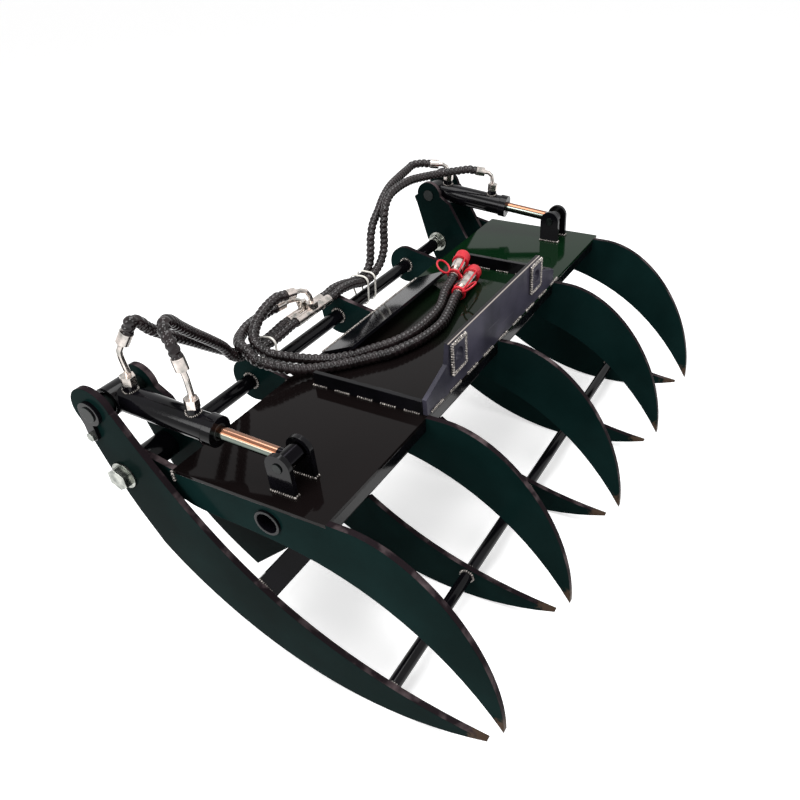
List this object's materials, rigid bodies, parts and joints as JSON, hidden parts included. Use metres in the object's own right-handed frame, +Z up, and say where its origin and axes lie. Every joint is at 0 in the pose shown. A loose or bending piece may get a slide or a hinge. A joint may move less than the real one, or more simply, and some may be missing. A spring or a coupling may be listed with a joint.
{
  "type": "root grapple",
  "caption": "Hydraulic root grapple for a compact loader: fixed tines under a base plate, a hinged tined jaw and two cylinders that open it.",
  "frame": {"origin": "middle of the loader mount's bearing face, on the base plate's top, 150 mm in front of the plate's rear edge", "axes": "+X along the jaw hinge towards the far side, +Y towards the hinge, +Z up out of the base plate towards the loader"},
  "size_m": [1.1023, 0.6726, 0.5628],
  "materials": {
    "paint": "gloss",
    "paint_worn": "satin",
    "zinc": "satin",
    "pin_steel": "satin",
    "chrome": "polished",
    "piston_iron": "machined",
    "seal": "matte",
    "hose": "satin",
    "cap_red": "gloss",
    "tie_white": "satin"
  },
  "bodies": {
    "frame": {"base_plate": "paint", "fixed_tine_1": "paint", "fixed_tine_2": "paint", "fixed_tine_3": "paint", "fixed_tine_4": "paint", "fixed_tine_5": "paint", "torsion_tube": "paint", "front_bar": "paint", "mount_pin_plate": "paint_worn", "mount_hook_lip": "paint", "mount_side_rails": "paint", "hinge_tube": "paint", "hinge_bolts": "zinc", "hinge_nuts": "zinc", "hinge_washers": "zinc", "hinge_collars": "paint", "clevis_ears": "paint", "clevis_pins": "pin_steel", "tee_fittings": "zinc", "tee_ferrules": "zinc", "coupler_hose_1": "hose", "coupler_hose_2": "hose", "couplers": "zinc", "cap_tethers": "cap_red", "cable_ties": "tie_white", "near_base_hose": "hose", "near_rod_hose": "hose", "far_base_hose": "hose", "far_rod_hose": "hose"},
    "jaw": {"jaw_arm_near": "paint", "jaw_arm_far": "paint", "jaw_tine_2": "paint", "jaw_tine_3": "paint", "jaw_tine_4": "paint", "jaw_ear_near": "paint", "jaw_ear_far": "paint", "jaw_strip": "paint", "jaw_crossbar": "paint", "jaw_collar": "paint", "base_pins": "pin_steel", "pin_flags": "paint", "flag_bolts": "zinc"},
    "near_rod": {"near_rod": "chrome", "near_piston": "piston_iron", "near_piston_seal": "seal", "near_piston_nut": "zinc"},
    "near_barrel": {"near_barrel": "paint", "near_gland": "paint", "near_rod_wiper": "seal", "near_port_fittings": "zinc"},
    "far_rod": {"far_rod": "chrome", "far_piston": "piston_iron", "far_piston_seal": "seal", "far_piston_nut": "zinc"},
    "far_barrel": {"far_barrel": "paint", "far_gland": "paint", "far_rod_wiper": "seal", "far_port_fittings": "zinc"},
    "cap_1": {"dust_cap_1": "cap_red"},
    "cap_2": {"dust_cap_2": "cap_red"}
  },
  "joints": [
    {"name": "jaw_hinge", "type": "hinge", "parent": "frame", "child": "jaw", "pos_m": [0, 0.233, -0.023], "axis": [1, 0, 0], "range_deg": [0, 38]},
    {"name": "near_rod_swing", "type": "hinge", "parent": "frame", "child": "near_rod", "pos_m": [-0.4815, -0.03, 0.046], "axis": [1, 0, 0], "range_deg": [-0.1, 0.8]},
    {"name": "near_barrel_slide", "type": "slide", "parent": "near_rod", "child": "near_barrel", "axis": [-0.0824, 0.988, 0.131], "range_m": [-0.0725, 0.0005], "deforming": ["near_base_hose", "near_rod_hose"]},
    {"name": "far_rod_swing", "type": "hinge", "parent": "frame", "child": "far_rod", "pos_m": [0.4815, -0.03, 0.046], "axis": [1, 0, 0], "range_deg": [-0.1, 0.8]},
    {"name": "far_barrel_slide", "type": "slide", "parent": "far_rod", "child": "far_barrel", "axis": [-0.1171, 0.9845, 0.1305], "range_m": [-0.0725, 0.0005], "deforming": ["far_base_hose", "far_rod_hose"]},
    {"name": "cap_1_pull", "type": "slide", "parent": "frame", "child": "cap_1", "axis": [0.9657, 0.1931, 0.1738], "range_m": [0, 0.025]},
    {"name": "cap_2_pull", "type": "slide", "parent": "frame", "child": "cap_2", "axis": [0.9882, 0.1529, 0.0118], "range_m": [0, 0.025]}
  ],
  "couplings": [
    {"joint": "near_rod_swing", "follows": "jaw_hinge", "ratio": 0.0157},
    {"joint": "near_barrel_slide", "follows": "jaw_hinge", "m_per_rad": -0.1061},
    {"joint": "far_rod_swing", "follows": "jaw_hinge", "ratio": 0.0157},
    {"joint": "far_barrel_slide", "follows": "jaw_hinge", "m_per_rad": -0.10647}
  ]
}
